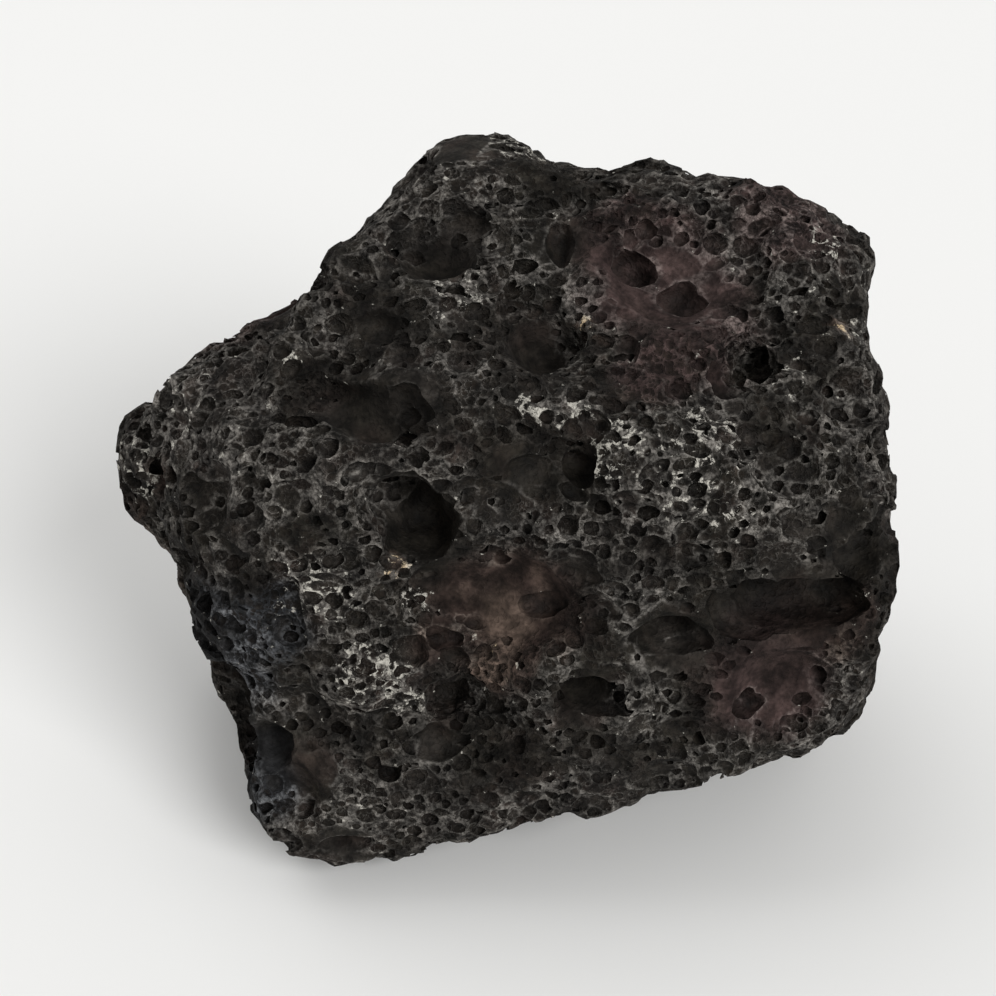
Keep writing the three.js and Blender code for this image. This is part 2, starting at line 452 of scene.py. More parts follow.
# Paling of the ridges, partly wear and partly a painted highlight, and how light the skin is: each
# as the range of a mark or noise, and what that range is carried to.
PALER_RIDGES_LIFT = 0.62
SHADE_PATCH_PALING = -0.5
PALING_RANGE = (-0.5, 0.6, 0.10, 1.0)
BROKEN_PALING_RANGE = (0.30, 0.65, 0.2, 1.0)
CLOUD_LIGHT = (-0.6, 0.6, 0.62, 1.42)
MOTTLE_LIGHT = (0.28, 0.72, 0.48, 1.52)
SHADE_PATCH_LIGHT = -0.15
SPECKLE = (1.4, 0.30)  # slope and start, from the fine grain
LEAST_SPECKLE = 0.5
SMOOTHER = -0.85  # what a smooth wall takes off the broken skin's roughness
FROTH_INSIDE = (0.6, 2.2, 1.0, 0.45)
ROUGHNESS_INSIDE = (0.2, 1.5, 0.92, 0.70)
GLOSS = 0.13

# Floor, light and camera, in metres; lamps with the place they shine from, softness and power
FLOOR_REACH = 8.0
FLOOR_ROUGHNESS = 0.7
FLOOR_GLOSS = 0.2
LAMPS = [
    ("key", (0.55, -0.80, 0.72), math.radians(28), 2.1),
    ("top", (-0.35, 0.25, 0.90), math.radians(50), 0.7),
]
SKY = 0.5  # strength
LENS = 80.0  # mm
SENSOR = 36.0  # mm
FILL = 0.76  # share of the picture's width that the block takes up
VIEW_ELEVATION = math.radians(35)
AIM_HEIGHT = 0.47  # in heights of the block
NEAR, FAR = 0.01, 20

SEED = 7


def heading(azimuth, elevation):
    """The unit vector that looks along an azimuth and elevation in degrees; azimuth 0 is +X."""
    a, e = math.radians(azimuth), math.radians(elevation)
    return Vector((math.cos(e) * math.cos(a), math.cos(e) * math.sin(a), math.sin(e)))


def bake_modifiers(obj):
    """Applies every modifier of an object to its mesh."""
    depsgraph = bpy.context.evaluated_depsgraph_get()
    mesh = bpy.data.meshes.new_from_object(obj.evaluated_get(depsgraph))
    obj.modifiers.clear()
    old = obj.data
    obj.data = mesh
    bpy.data.meshes.remove(old)


def smoothstep(low, high, value):
    """0 up to low, 1 from high on, and an S-curve between them."""
    t = min(1.0, max(0.0, (value - low) / (high - low)))
    return t * t * (3 - 2 * t)


# ---------------------------------------------------------------- skin


def raw_skin(node):
    """A merged copy of the block's plain solid."""
    bm = bmesh.new()
    bm.from_mesh(node.data)
    bmesh.ops.remove_doubles(bm, verts=bm.verts, dist=WELD)
    mesh = bpy.data.meshes.new("scoria_block")
    bm.to_mesh(mesh)
    bm.free()
    obj = bpy.data.objects.new("scoria_block", mesh)
    bpy.context.scene.collection.objects.link(obj)
    return obj


def round_off(obj):
    """Turns the flat facets into one fine, even, rounded skin."""
    remesh = obj.modifiers.new("even_squares", "REMESH")
    remesh.mode = "VOXEL"
    remesh.voxel_size = SKIN_SQUARES
    smooth = obj.modifiers.new("rounding", "SMOOTH")
    smooth.factor, smooth.iterations = ROUNDING
    bake_modifiers(obj)


def tree_of(mesh):
    """A search tree of a mesh's faces."""
    bm = bmesh.new()
    bm.from_mesh(mesh)
    tree = BVHTree.FromBMesh(bm)
    bm.free()
    return tree


def hull_of(mesh):
    """A search tree of the tight skin over a mesh, with its hollows bridged."""
    bm = bmesh.new()
    bm.from_mesh(mesh)
    bmesh.ops.convex_hull(bm, input=bm.verts)
    tree = BVHTree.FromBMesh(bm)
    bm.free()
    return tree


def spot(tree, azimuth, elevation):
    """The point of a skin along a heading from the heart, and the way the skin faces there."""
    far = HEART + heading(azimuth, elevation) * SIZE.length
    point, outward, _, _ = tree.ray_cast(far, HEART - far)
    return point, outward


def closeness(point, patches):
    """How deep inside any of some round patches a point lies: 1 in the middle, 0 outside."""
    nearest = min((point - middle).length / reach for middle, reach in patches)
    return 1 - smoothstep(*PATCH_EDGE, nearest)


def sway(obj, tree):
    """Lowers and raises broad stretches of the skin."""
    dips = []
    for azimuth, elevation, reach, rise in SWALES:
        point, outward = spot(tree, azimuth, elevation)
        dips.append((point, outward * rise * MM, reach * MM))
    for v in obj.data.vertices:
        here = v.co.copy()
        for point, push, reach in dips:
            v.co += push * (1 - smoothstep(0, 1, (here - point).length / reach))


def roughen(obj, froth):
    """Breaks the rounded skin up, less where it is a smooth wall."""
    group = obj.vertex_groups.new(name="froth")
    for vertex, amount in zip(obj.data.vertices, froth):
        group.add([vertex.index], amount, "REPLACE")
    for name, basis, wavelength, height in ROUGHNESS:
        texture = bpy.data.textures.new(name, "CLOUDS")
        texture.noise_basis = basis
        texture.noise_scale = wavelength * MM
        texture.noise_depth = 1
        displace = obj.modifiers.new(name, "DISPLACE")
        displace.texture = texture
        displace.texture_coords = "LOCAL"
        displace.strength = height * MM
        displace.mid_level = 0.5
        displace.vertex_group = group.name
    bake_modifiers(obj)


# ---------------------------------------------------------------- bubbles


def ball(subdivisions, seed):
    """An uneven ball of radius 1, the space that one bubble takes up."""
    bm = bmesh.new()
    bmesh.ops.create_icosphere(bm, subdivisions=subdivisions, radius=1)
    for v in bm.verts:
        v.co *= sum((height * noise.noise(v.co * fine + seed) for fine, height in UNEVENNESS), 1)
    mesh = bpy.data.meshes.new("mould")
    bm.to_mesh(mesh)
    bm.free()
    return mesh


def spots_on(mesh, count, draw):
    """Points spread evenly over a mesh at random, each with the way the skin faces there."""
    mesh.calc_loop_triangles()
    triangles = mesh.loop_triangles
    vertices = mesh.vertices
    areas = [t.area for t in triangles]
    for t in draw.choices(triangles, areas, k=count):
        a, b, c = (vertices[i] for i in t.vertices)
        u, w = sorted((draw.random(), draw.random()))
        shares = (u, w - u, 1 - w)
        point = sum((v.co * s for v, s in zip((a, b, c), shares)), Vector())
        outward = sum((v.normal * s for v, s in zip((a, b, c), shares)), Vector())
        yield point, outward.normalized()


def cell_of(point, size):
    """The cell of a cubic grid that a point lies in."""
    return tuple(math.floor(c / size) for c in point)


def around(grid, cell):
    """What a grid of lists holds in a cell and in the cells that touch it."""
    for step in itertools.product((-1, 0, 1), repeat=3):
        yield from grid.get(tuple(c + d for c, d in zip(cell, step)), ())


def blow_bubbles(mesh, sizes, froth_at, draw):
    """Places of the bubbles on a skin: centre, radius and subdivisions, the coarse ones first."""
    size = 2 * sizes[0][1] * MM
    grid = {}
    bubbles = []
    for small, large, tries, overlap, low, high, subdivisions in sizes:
        for point, outward in spots_on(mesh, tries, draw):
            radius = (small + (large - small) * draw.random() ** SMALL_ONES) * MM
            centre = point + outward * radius * draw.uniform(low, high)
            if draw.random() > froth_at(point):
                continue
            cell = cell_of(centre, size)
            reach = 1 - overlap
            if any((centre - c).length < (radius + r) * reach for c, r, _ in around(grid, cell)):
                continue
            bubble = (centre, radius, subdivisions)
            grid.setdefault(cell, []).append(bubble)
            bubbles.append(bubble)
    return bubbles


def cast(bubbles, draw):
    """One uneven ball for each bubble, stretched a little sideways, with its centre and reach."""
    balls = []
    for centre, radius, subdivisions in bubbles:
        stretch = draw.uniform(*STRETCH)
        turn = Matrix.Rotation(draw.uniform(-TURN, TURN), 4, "Y")
        swing = Matrix.Rotation(draw.uniform(-SWING, SWING), 4, "Z")
        squeeze = radius / stretch**0.5
        size = Matrix.Diagonal((radius * stretch, squeeze, squeeze, 1))
        place = Matrix.Translation(centre) @ swing @ turn @ size
        balls.append((centre, radius * stretch * BALL_REACH, place, subdivisions))
    return balls


def cast_hollows(rows, tree):
    """The same for hollows that are given one by one, each across its own mouth."""
    balls = []
    for azimuth, elevation, width, height, depth, turn, _ in rows:
        mouth, outward = spot(tree, azimuth, elevation)
        roundness = min(1.0, depth / min(width, height))
        lift = LIFT - DROP * roundness
        across = math.sqrt(1 - lift * lift)
        deep = depth / (1 - lift)
        right = Vector((0, 0, 1)).cross(outward).normalized()
        axes = Matrix((right, outward.cross(right), outward)).transposed().to_4x4()
        spin = Matrix.Rotation(math.radians(turn), 4, "Z")
        size = Matrix.Diagonal((width / 2 / across * MM, height / 2 / across * MM, deep * MM, 1))
        centre = mouth + outward * lift * deep * MM
        place = Matrix.Translation(centre) @ axes @ spin @ size
        reach = max(width, height) * HOLLOW_REACH * MM
        balls.append((centre, reach, place, HOLLOW_SUBDIVISIONS))
    return balls


def sort_apart(balls):
    """Deals the balls into lots, so that no two in a lot touch."""
    size = 2 * max(reach for _, reach, _, _ in balls)
    grid = {}
    lots = []
    for row in balls:
        centre, reach, _, _ = row
        cell = cell_of(centre, size)
        taken = {
            lot for other, r, lot in around(grid, cell) if (centre - other).length < reach + r
        }
        lot = next(n for n in range(len(lots) + 1) if n not in taken)
        if lot == len(lots):
            lots.append([])
        lots[lot].append(row)
        grid.setdefault(cell, []).append((centre, reach, lot))
    return lots


def cut_out(obj, balls, draw):
    """Cuts every ball out of the block."""
    moulds = {}
    for subdivisions in sorted({row[-1] for row in balls}):
        seeds = [Vector([draw.uniform(0, NOISE_SPAN) for _ in range(3)]) for _ in range(MOULDS)]
        moulds[subdivisions] = [ball(subdivisions, seed) for seed in seeds]
    collection = bpy.data.collections.new("bubbles")
    bpy.context.scene.collection.children.link(collection)
    for lot in sort_apart(balls):
        bm = bmesh.new()
        for _, _, place, subdivisions in lot:
            mould = draw.choice(moulds[subdivisions]).copy()
            mould.transform(place)
            bm.from_mesh(mould)
            bpy.data.meshes.remove(mould)
        mesh = bpy.data.meshes.new("bubbles")
        bm.to_mesh(mesh)
        bm.free()
        collection.objects.link(bpy.data.objects.new("bubbles", mesh))
    boolean = obj.modifiers.new("open_bubbles", "BOOLEAN")
    boolean.operation = "DIFFERENCE"
    boolean.solver = "MANIFOLD"
    boolean.operand_type = "COLLECTION"
    boolean.collection = collection
    bake_modifiers(obj)
    for cutter in list(collection.objects):
        mesh = cutter.data
        bpy.data.objects.remove(cutter)
        bpy.data.meshes.remove(mesh)
    bpy.data.collections.remove(collection)


def drop_crumbs(obj):
    """Keeps the block itself, and drops the crumbs that the bubbles cut loose."""
    bm = bmesh.new()
    bm.from_mesh(obj.data)
    left = set(bm.verts)
    islands = []
    while left:
        first = left.pop()
        island, front = [first], [first]
        while front:
            v = front.pop()
            for e in v.link_edges:
                other = e.other_vert(v)
                if other in left:
                    left.remove(other)
                    island.append(other)
                    front.append(other)
        islands.append(island)
    islands.sort(key=len)
    crumbs = [v for island in islands[:-1] for v in island]
    bmesh.ops.delete(bm, geom=crumbs, context="VERTS")
    bm.to_mesh(obj.data)
    bm.free()


def thin_out(obj):
    """Brings the mesh under the triangle limit, keeping its closed shape."""
    bm = bmesh.new()
    bm.from_mesh(obj.data)
    bmesh.ops.triangulate(bm, faces=bm.faces)
    bm.to_mesh(obj.data)
    bm.free()
    decimate = obj.modifiers.new("thinning", "DECIMATE")
    decimate.ratio = min(1.0, MOST_TRIANGLES / len(obj.data.polygons))
    bake_modifiers(obj)


def mend(obj):
    """Cuts away the folds and pinches that thinning leaves, and closes the skin over them."""
    bm = bmesh.new()
    bm.from_mesh(obj.data)
    for _ in range(MENDING_ROUNDS):
        stacks = {}
        for face in bm.faces:
            stacks.setdefault(frozenset(face.verts), []).append(face)
        folded = [face for stack in stacks.values() if len(stack) > 1 for face in stack]
        bmesh.ops.delete(bm, geom=folded, context="FACES")
        pinched = [v for v in bm.verts if not v.is_manifold or v.is_boundary]
        bmesh.ops.delete(bm, geom=pinched, context="VERTS")
        rims = [e for e in bm.edges if e.is_boundary]
        if not folded and not rims:
            break
        patch = bmesh.ops.holes_fill(bm, edges=rims, sides=0)
        bmesh.ops.triangulate(bm, faces=patch["faces"])
    bm.to_mesh(obj.data)
    bm.free()


def keep_inside(value, low, high):
    """A coordinate held softly inside its range."""
    if value > high - SOFT_EDGE:
        return high - SOFT_EDGE * math.exp((high - SOFT_EDGE - value) / SOFT_EDGE)
    if value < low + SOFT_EDGE:
        return low + SOFT_EDGE * math.exp((value - low - SOFT_EDGE) / SOFT_EDGE)
    return value


def seat(obj):
    """Keeps the skin inside the block's box, and flattens what would reach below the floor."""
    for v in obj.data.vertices:
        x, y, z = v.co
        z = max(LOW.z, z) if z < SIZE.z / 2 else keep_inside(z, LOW.z, HIGH.z)
        v.co = (keep_inside(x, LOW.x, HIGH.x), keep_inside(y, LOW.y, HIGH.y), z)


# ---------------------------------------------------------------- marks on the surface


def write_mark(mesh, name, values):
    """Stores one number for each vertex under a name that a material can read."""
    mark = mesh.attributes.new(name, "FLOAT", "POINT")
    mark.data.foreach_set("value", values)


def mark_depth(obj, skin_tree):
    """How far each point lies below the broken skin, in mm: the walls of the open bubbles."""
    depths = [skin_tree.find_nearest(v.co)[3] / MM for v in obj.data.vertices]
    write_mark(obj.data, "depth", depths)


def mark_relief(obj):
    """How far each point stands out of its surroundings, in mm: above 0 on ridges and rims."""
    settled = obj.copy()
    settled.data = obj.data.copy()
    bpy.context.scene.collection.objects.link(settled)
    smooth = settled.modifiers.new("settling", "SMOOTH")
    smooth.factor, smooth.iterations = SETTLING
    bake_modifiers(settled)
    pairs = zip(obj.data.vertices, settled.data.vertices)
    write_mark(obj.data, "relief", [(v.co - w.co).dot(w.normal) / MM for v, w in pairs])
    mesh = settled.data
    bpy.data.objects.remove(settled)
    bpy.data.meshes.remove(mesh)


def mark_crests(obj):
    """Where the skin folds sharply outwards: 1 along rims and thin walls, 0 elsewhere."""
    bm = bmesh.new()
    bm.from_mesh(obj.data)
    folds = [max(e.calc_face_angle_signed(0.0) for e in v.link_edges) for v in bm.verts]
    bm.free()
    write_mark(obj.data, "crest", [smoothstep(*CREST_FOLD, fold) for fold in folds])


def mark_patches(obj, name, patches):
    """How far inside some round patches each point lies, from 0 to 1, with a ragged outline."""
    wavelength, height = RAGGED

    def stray(point):
        return point + noise.noise_vector(point / (wavelength * MM)) * height * MM

    write_mark(obj.data, name, [closeness(stray(v.co), patches) for v in obj.data.vertices])


def mark_crust(obj, patches):
    """How thickly white mineral lies, from 0 to 1."""
    thickness = [
        max(amount * closeness(v.co, [(point, reach)]) for point, reach, amount in patches)
        for v in obj.data.vertices
    ]
    write_mark(obj.data, "crust", thickness)


def mark_drift(obj, name, wavelength, shift):
    """Slow patchy change over the block, about 0 on average, from -1 to 1."""
    away = Vector((shift, 0, 0))
    places = [v.co / (wavelength * MM) + away for v in obj.data.vertices]
    write_mark(obj.data, name, [noise.fractal(place, *DRIFT_NOISE) for place in places])


# ---------------------------------------------------------------- shader nodes


def add_node(tree, kind, inputs=None, **settings):
    """Adds a node with its settings, and links or sets the inputs that are given."""
    node = tree.nodes.new(kind)
    for name, value in settings.items():
        setattr(node, name, value)
    for name, value in (inputs or {}).items():
        if isinstance(value, bpy.types.NodeSocket):
            tree.links.new(value, node.inputs[name])
        else:
            node.inputs[name].default_value = value
    return node


def calc(tree, operation, *values, clamp=False):
    """A Math node's result."""
    inputs = dict(enumerate(values))
    return add_node(tree, "ShaderNodeMath", inputs, operation=operation, use_clamp=clamp).outputs[0]


def most(tree, *values):
    """The largest of several values."""
    return functools.reduce(lambda a, b: calc(tree, "MAXIMUM", a, b), values)


def fade(tree, value, low, high, to_low=0.0, to_high=1.0):
    """A value carried smoothly from one range to another."""
    ends = {"From Min": low, "From Max": high, "To Min": to_low, "To Max": to_high}
    node = add_node(
        tree, "ShaderNodeMapRange", {"Value": value, **ends}, interpolation_type="SMOOTHSTEP"
    )
    return node.outputs["Result"]


def tint(tree, share, under, over):
    """One colour laid over another."""
    node = add_node(tree, "ShaderNodeMix", data_type="RGBA", blend_type="MIX", clamp_factor=True)
    for name, value in (("Factor_Float", share), ("A_Color", under), ("B_Color", over)):
        socket = next(i for i in node.inputs if i.identifier == name)
        if isinstance(value, bpy.types.NodeSocket):
            tree.links.new(value, socket)
        elif name == "Factor_Float":
            socket.default_value = value
        else:
            socket.default_value = (*value, 1)
    return next(o for o in node.outputs if o.identifier == "Result_Color")


def grain(tree, place, size, roughness):
    """Noise with lumps of a size in mm, from 0 to 1."""
    inputs = {"Vector": place, "Scale": 1 / size, "Detail": 2.0, "Roughness": roughness}
    return add_node(tree, "ShaderNodeTexNoise", inputs).outputs["Fac"]


def new_group(name, numbers, results):
    """An empty node group that takes a place and some numbers, and its input and output nodes."""
    tree = bpy.data.node_groups.new(name, "ShaderNodeTree")
    tree.interface.new_socket("Place", in_out="INPUT", socket_type="NodeSocketVector")
    for label in numbers:
        tree.interface.new_socket(label, in_out="INPUT", socket_type="NodeSocketFloat")
    for label in results:
        tree.interface.new_socket(label, in_out="OUTPUT", socket_type="NodeSocketFloat")
    return tree, tree.nodes.new("NodeGroupInput"), tree.nodes.new("NodeGroupOutput")


def vesicle_group():
    """Small open gas bubbles: how deep each point lies in one, and the thin rim round its mouth."""
    tree, given, result = new_group("vesicles", ("Spacing", "Width"), ("Pit", "Rim"))
    cells = calc(tree, "DIVIDE", 1.0, given.outputs["Spacing"])
    voronoi = add_node(
        tree, "ShaderNodeTexVoronoi", {"Vector": given.outputs["Place"], "Scale": cells}
    )
    split = add_node(tree, "ShaderNodeSeparateColor", {"Color": voronoi.outputs["Color"]})
    smallest, largest = VESICLE_RADII
    radius = calc(tree, "MULTIPLY_ADD", split.outputs["Red"], largest - smallest, smallest)
    radius = calc(tree, "MULTIPLY", radius, given.outputs["Width"])
    across = calc(tree, "DIVIDE", voronoi.outputs["Distance"], radius)
    bowl = calc(tree, "SUBTRACT", 1.0, calc(tree, "MULTIPLY", across, across), clamp=True)
    tree.links.new(calc(tree, "SQRT", bowl), result.inputs["Pit"])
    where, wide = VESICLE_RIM
    off_rim = calc(tree, "ABSOLUTE", calc(tree, "SUBTRACT", across, where))
    tree.links.new(fade(tree, off_rim, wide, 0.0), result.inputs["Rim"])
    return tree


def ragged(tree, place, wavelength, reach):
    """A place pushed about by noise, so that what is drawn there gets a ragged outline."""
    inputs = {"Vector": place, "Scale": 1 / wavelength, "Detail": 1.0}
    push = add_node(tree, "ShaderNodeTexNoise", inputs).outputs["Color"]
    inputs = {0: push, 1: (reach,) * 3, 2: place}
    return add_node(tree, "ShaderNodeVectorMath", inputs, operation="MULTIPLY_ADD").outputs[0]


def scaled(tree, vector, scale):
    """A vector or colour times a number."""
    inputs = {0: vector, "Scale": scale}
    return add_node(tree, "ShaderNodeVectorMath", inputs, operation="SCALE").outputs[0]


def crust_group():
    """White mineral: threads and clumps that follow ridges and rims, with a few loose grains."""
    tree, given, result = new_group("mineral crust", ("Ridge", "Cover", "Clump"), ("Crust",))
    scale = calc(tree, "DIVIDE", 1.0, given.outputs["Clump"])
    inputs = {"Vector": given.outputs["Place"], "Scale": scale, "Detail": 4.0, "Roughness": 0.7}
    clumps = add_node(tree, "ShaderNodeTexNoise", inputs).outputs["Fac"]
    level = calc(tree, "MULTIPLY_ADD", given.outputs["Cover"], COVER_LIFT, clumps)
    level = calc(tree, "MULTIPLY_ADD", given.outputs["Ridge"], RIDGE_LIFT, level)
    tree.links.new(fade(tree, level, *CRUST_LEVELS), result.inputs["Crust"])
    return tree


def new_material(name):
    """A node material with its Principled shader, and its tree."""
    material = bpy.data.materials.new(name)
    material.use_nodes = True
    return material, material.node_tree, material.node_tree.nodes["Principled BSDF"]


def fine_bubbles(tree, place, fine, froth):
    """Bubbles too fine for the mesh: the height of the skin in mm, its pits and its rims."""
    vesicles = vesicle_group()
    uneven = ragged(tree, place, *RAGGED_MOUTHS)
    height = calc(tree, "MULTIPLY", fine, GRAIN_HEIGHT)
    pit = 0.0
    rim = 0.0
    for spacing, width, depth in VESICLE_LAYERS:
        inputs = {"Place": uneven, "Spacing": spacing, "Width": width}
        layer = add_node(tree, "ShaderNodeGroup", inputs, node_tree=vesicles).outputs
        height = calc(tree, "MULTIPLY_ADD", layer["Pit"], -depth, height)
        height = calc(tree, "MULTIPLY_ADD", layer["Rim"], depth * RIM_HEIGHT, height)
        pit = most(tree, layer["Pit"], pit)
        rim = most(tree, layer["Rim"], rim)
    height = calc(tree, "MULTIPLY", height, most(tree, froth, LEAST_BUMP))
    pit = calc(tree, "MULTIPLY", pit, froth)
    rim = calc(tree, "MULTIPLY", calc(tree, "SUBTRACT", rim, pit, clamp=True), froth)
    return height, pit, rim


def stained_skin(tree, mark):
    """The colour of unworn skin: charcoal that drifts to olive and rust, under its stains."""
    colour = tint(tree, fade(tree, mark["tone"], *CHARCOAL_RANGE), OLIVE, CHARCOAL)
    rust = fade(tree, mark["rust"], *RUST_RANGE)
    colour = tint(tree, calc(tree, "MULTIPLY", rust, RUST_SHARE), colour, BROWN)
    for stain, shade in (("brown", BROWN), ("mauve", MAUVE), ("blue", BLUE)):
        colour = tint(tree, calc(tree, "MULTIPLY", mark[stain], STAIN_SHARE), colour, shade)
    veins = calc(tree, "MULTIPLY", mark["brown"], fade(tree, mark["cloud"], *VEIN_RANGE))
    veins = calc(tree, "MULTIPLY", veins, VEIN_SHARE)
    ochre = calc(tree, "MULTIPLY", mark["ochre"], OCHRE_SHARE)
    return tint(tree, most(tree, veins, ochre), colour, OCHRE)


def darkness(tree, mark, pit, broken):
    """How far the colour is darkened as painted shade: in pits, in crevices, down deep walls and in
    the shade patches of hollows and dips.
    """
    crevice = fade(tree, mark["relief"], *CREVICE_RANGE)
    deep = fade(tree, mark["depth"], *DEEP_WALL_RANGE, 0.0, DEEP_WALL_SHARE)
    return most(
        tree,
        calc(tree, "MULTIPLY", pit, PIT_SHARE),
        calc(tree, "MULTIPLY", crevice, CREVICE_SHARE),
        calc(tree, "MULTIPLY", deep, broken),
        calc(tree, "MULTIPLY", mark["painted_shade"], SHADE_PATCH_SHARE),
    )


def ridges(tree, mark, rim, froth):
    """How much a point stands out: on rims of bubbles large and fine, and on high ground."""
    rise = fade(tree, mark["relief"], *RISE_RANGE, 0.0, RISE_SHARE)
    return most(
        tree,
        calc(tree, "MULTIPLY", fade(tree, mark["crest"], *CREST_RANGE), CREST_SHARE),
        calc(tree, "MULTIPLY", rim, FINE_RIM_SHARE),
        calc(tree, "MULTIPLY", rise, froth),
    )


def wear_and_highlight(tree, mark, colour, ridge, fine):
    """The colour with its ridges paled, partly as wear and partly as a painted highlight, most
    where the paling drift and the paler patches are strongest, least in the shade patches.
    """
    paling = calc(tree, "MULTIPLY_ADD", mark["paler_ridges"], PALER_RIDGES_LIFT, mark["paling"])
    # Less pale in the shade patches, so that the painted shade stays dark
    paling = calc(tree, "MULTIPLY_ADD", mark["painted_shade"], SHADE_PATCH_PALING, paling)
    worn_and_highlit = calc(tree, "MULTIPLY", ridge, fade(tree, paling, *PALING_RANGE))
    worn_and_highlit = calc(tree, "MULTIPLY", worn_and_highlit, fade(tree, fine, *BROKEN_PALING_RANGE))
    pale = ASH
    for stain, share, paler in PALE_SHARES:
        pale = tint(tree, calc(tree, "MULTIPLY", mark[stain], share), pale, paler)
    return tint(tree, worn_and_highlit, colour, pale)


def mottling(tree, mark, place, fine, broken):
    """How light each point is beside its neighbours, about 1 on average, and darker in the shade
    patches as painted shade.
    """
    mottle = fade(tree, grain(tree, place, *MOTTLE_GRAIN), *MOTTLE_LIGHT)
    light = calc(tree, "MULTIPLY", fade(tree, mark["cloud"], *CLOUD_LIGHT), mottle)
    # Darker in the shade patches: painted shade
    shaded = calc(tree, "MULTIPLY_ADD", mark["painted_shade"], SHADE_PATCH_LIGHT, 1.0)
    light = calc(tree, "MULTIPLY", light, shaded)
    speckle = calc(tree, "MULTIPLY_ADD", fine, *SPECKLE)
    speckle = calc(tree, "POWER", speckle, most(tree, broken, LEAST_SPECKLE))
    return calc(tree, "MULTIPLY", light, speckle)


def scoria_material():
    """Dark scoria: pitted charcoal skin with painted shade in its pits, crevices and hollows, pale
    rims that are partly worn and partly a painted highlight, stained bubble walls, white crust.
    """
    material, tree, shader = new_material("scoria")
    place = scaled(tree, add_node(tree, "ShaderNodeTexCoord").outputs["Object"], 1 / MM)
    drifts = [name for name, _ in DRIFTS]
    mark = {
        name: add_node(tree, "ShaderNodeAttribute", attribute_name=name).outputs["Fac"]
        for name in ("depth", "relief", "crest", "smooth", "crust", *STAIN_KINDS, *drifts)
    }
    broken = calc(tree, "MULTIPLY_ADD", mark["smooth"], SMOOTHER, 1.0)
    froth = calc(tree, "MULTIPLY", broken, fade(tree, mark["depth"], *FROTH_INSIDE))
    fine = grain(tree, place, *FINE_GRAIN)
    height, pit, rim = fine_bubbles(tree, place, fine, froth)
    ridge = ridges(tree, mark, rim, froth)

    colour = stained_skin(tree, mark)
    # Painted shade: pits, crevices, deep walls and shaded hollows darkened towards near black
    colour = tint(tree, darkness(tree, mark, pit, broken), colour, SHADE_COLOUR)
    # Ridges paled, partly as wear and partly as a painted highlight
    colour = wear_and_highlight(tree, mark, colour, ridge, fine)
    colour = scaled(tree, colour, mottling(tree, mark, place, fine, broken))

    inputs = {"Place": place, "Ridge": ridge, "Cover": mark["crust"], "Clump": CRUST_CLUMP}
    crust = add_node(tree, "ShaderNodeGroup", inputs, node_tree=crust_group()).outputs["Crust"]
    colour = tint(tree, crust, colour, tint(tree, mark["ochre"], CHALK, AMBER))

    bump = add_node(tree, "ShaderNodeBump", {"Strength": 1.0, "Distance": MM, "Height": height})
    roughness = fade(tree, mark["depth"], *ROUGHNESS_INSIDE)
    tree.links.new(colour, shader.inputs["Base Color"])
    tree.links.new(roughness, shader.inputs["Roughness"])
    tree.links.new(bump.outputs["Normal"], shader.inputs["Normal"])
    shader.inputs["Specular IOR Level"].default_value = GLOSS
    return material


# ---------------------------------------------------------------- the block


def find_walls(hull, solid):
    """The smooth walls of the hollows: the middle, reach and finish of each."""
    walls = [(spot(solid, a, e)[0], reach * MM, finish) for a, e, reach, finish in SMOOTH_WALLS]
    for rows, tree in ((HOLLOWS, hull), (DIMPLES, solid)):
        for azimuth, elevation, width, height, depth, _, finish in rows:
            mouth, outward = spot(tree, azimuth, elevation)
            middle = mouth - outward * depth * WALL_DEPTH * MM
            walls.append((middle, max(width, height) * WALL_REACH * MM, finish))
    return walls


def patchy(point, average, change, wavelength):
    """A share that changes slowly over the skin."""
    return average + change * noise.noise(point / (wavelength * MM))


def open_up(block, hull, skin, smooth, draw):
    """Cuts bowls and hollows out of the block, and then small bubbles out of what is left."""
    fewer, shallow, deep = FEWER_INSIDE

    def bowls_at(point):
        return patchy(point, *BOWL_FROTH) * (1 - closeness(point, smooth))

    def bubbles_at(point):
        sunk = skin.find_nearest(point)[3] / MM
        share = patchy(point, *BUBBLE_FROTH) * (1 - closeness(point, smooth))
        return share * (1 - fewer * smoothstep(shallow, deep, sunk))

    coarse, fine = BUBBLE_ROUNDS
    bowls = cast(blow_bubbles(block.data, coarse, bowls_at, draw), draw)
    cut_out(block, bowls + cast_hollows(HOLLOWS, hull), draw)
    cut_out(block, cast_hollows(DIMPLES, tree_of(block.data)), draw)
    cut_out(block, cast(blow_bubbles(block.data, fine, bubbles_at, draw), draw), draw)


def mark_all(block, skin, solid, walls, smooth):
    """Stores every number that the material reads."""
    mark_depth(block, skin)
    mark_relief(block)
    mark_crests(block)
    mark_patches(block, "smooth", smooth)
    for stain in STAIN_KINDS:
        patches = [(spot(solid, a, e)[0], r * MM) for a, e, r, kind in STAINS if kind == stain]
        patches += [(middle, r * WALL_STAIN) for middle, r, kind in walls if kind == stain]
        mark_patches(block, stain, patches)
    for number, (name, wavelength) in enumerate(DRIFTS):
        mark_drift(block, name, wavelength, number * DRIFT_SHIFT)
    crust = [(spot(solid, a, e)[0], r * MM, amount) for a, e, r, amount in CRUST_PATCHES]
    mark_crust(block, crust)


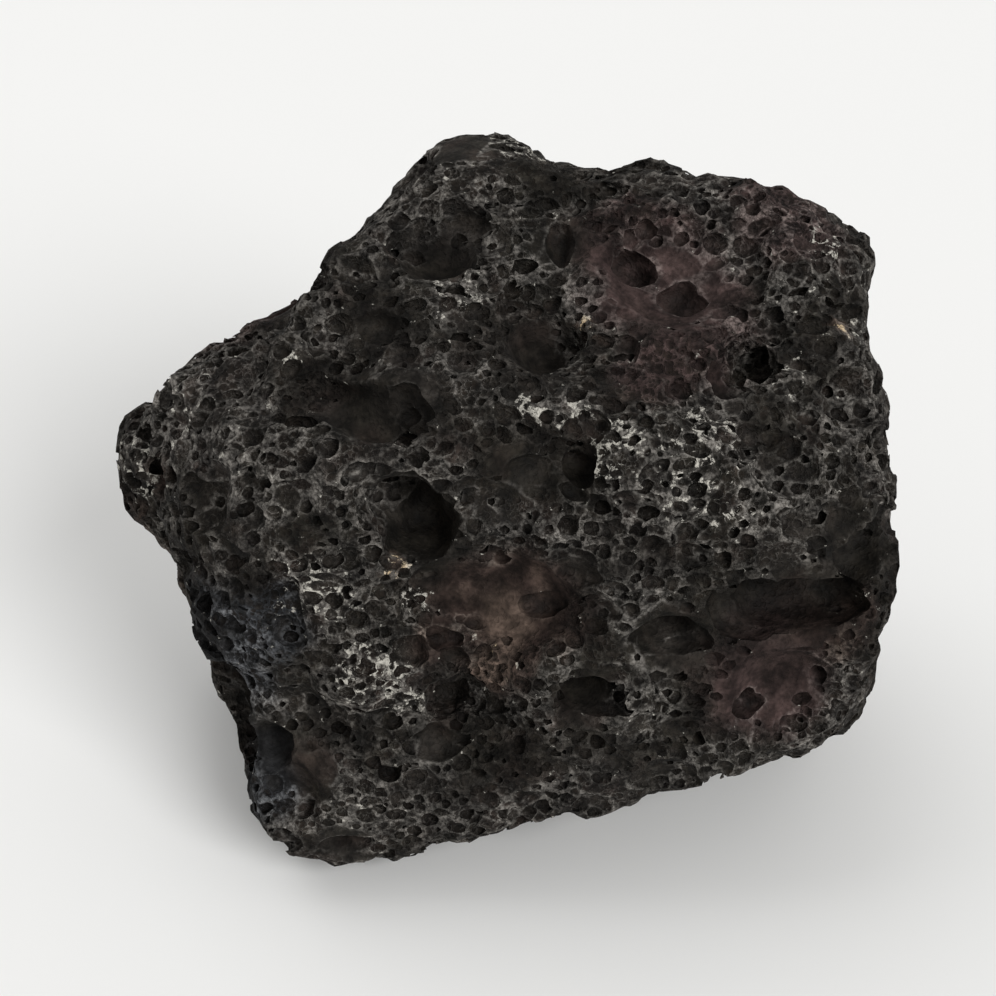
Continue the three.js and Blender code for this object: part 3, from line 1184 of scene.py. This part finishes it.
def make_block(draw):
    """The whole rock: one closed skin, cut by its bubbles."""
    block = raw_skin(frame["nodes"]["lava_rock"])
    hull = hull_of(block.data)
    solid = tree_of(block.data)
    walls = find_walls(hull, solid)
    smooth = [(middle, reach) for middle, reach, _ in walls]
    round_off(block)
    sway(block, solid)
    roughen(block, [1 - CALM * closeness(v.co, smooth) for v in block.data.vertices])
    skin = tree_of(block.data)
    open_up(block, hull, skin, smooth, draw)
    drop_crumbs(block)
    thin_out(block)
    mend(block)
    seat(block)
    mark_all(block, skin, solid, walls, smooth)
    block.data.materials.clear()
    block.data.materials.append(scoria_material())
    block.data.shade_smooth()
    block.data.set_sharp_from_angle(angle=CRISP_ANGLE)
    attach(block, "root")
    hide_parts("lava_rock")


# ---------------------------------------------------------------- floor, light and camera


def make_floor():
    """The plain pale floor."""
    bm = bmesh.new()
    bmesh.ops.create_grid(bm, x_segments=1, y_segments=1, size=FLOOR_REACH)
    mesh = bpy.data.meshes.new("floor")
    bm.to_mesh(mesh)
    bm.free()
    floor = bpy.data.objects.new("floor", mesh)
    bpy.context.scene.collection.objects.link(floor)
    material, _, shader = new_material("pale floor")
    shader.inputs["Base Color"].default_value = (*PALE_FLOOR, 1)
    shader.inputs["Roughness"].default_value = FLOOR_ROUGHNESS
    shader.inputs["Specular IOR Level"].default_value = FLOOR_GLOSS
    mesh.materials.append(material)
    floor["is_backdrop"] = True


def aim(obj, place, target):
    """Puts a lamp or camera at a place, and turns it to look at a target."""
    obj.location = place
    obj.rotation_euler = (target - place).to_track_quat("-Z", "Y").to_euler()
    bpy.context.scene.collection.objects.link(obj)


def make_lights(middle):
    """Two soft lamps and an even sky."""
    for name, place, softness, power in LAMPS:
        lamp = bpy.data.lights.new(name, "SUN")
        lamp.angle = softness
        lamp.energy = power
        aim(bpy.data.objects.new(name, lamp), Vector(place), middle)
    world = bpy.data.worlds.new("studio")
    world.use_nodes = True
    sky = world.node_tree.nodes["Background"]
    sky.inputs["Color"].default_value = (*SKY_LIGHT, 1)
    sky.inputs["Strength"].default_value = SKY
    bpy.context.scene.world = world


def make_camera(middle):
    """The camera, in front of the block and above it."""
    data = bpy.data.cameras.new("camera")
    data.lens = LENS
    data.sensor_width = SENSOR
    distance = SIZE.x / FILL * LENS / SENSOR
    back = -heading(90, 0) * math.cos(VIEW_ELEVATION) + Vector((0, 0, math.sin(VIEW_ELEVATION)))
    data.clip_start, data.clip_end = NEAR, FAR
    camera = bpy.data.objects.new("camera", data)
    aim(camera, middle + back * distance, middle)
    bpy.context.scene.camera = camera


noise.seed_set(SEED)  # noise_vector is shifted by this seed, and by the clock without it
make_block(random.Random(SEED))
make_floor()
middle = Vector((0, 0, SIZE.z * AIM_HEIGHT))
make_lights(middle)
make_camera(middle)
bpy.context.scene.view_settings.view_transform = "Standard"
[[list(corner) for corner in box] for box in (cad_bounds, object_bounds())]
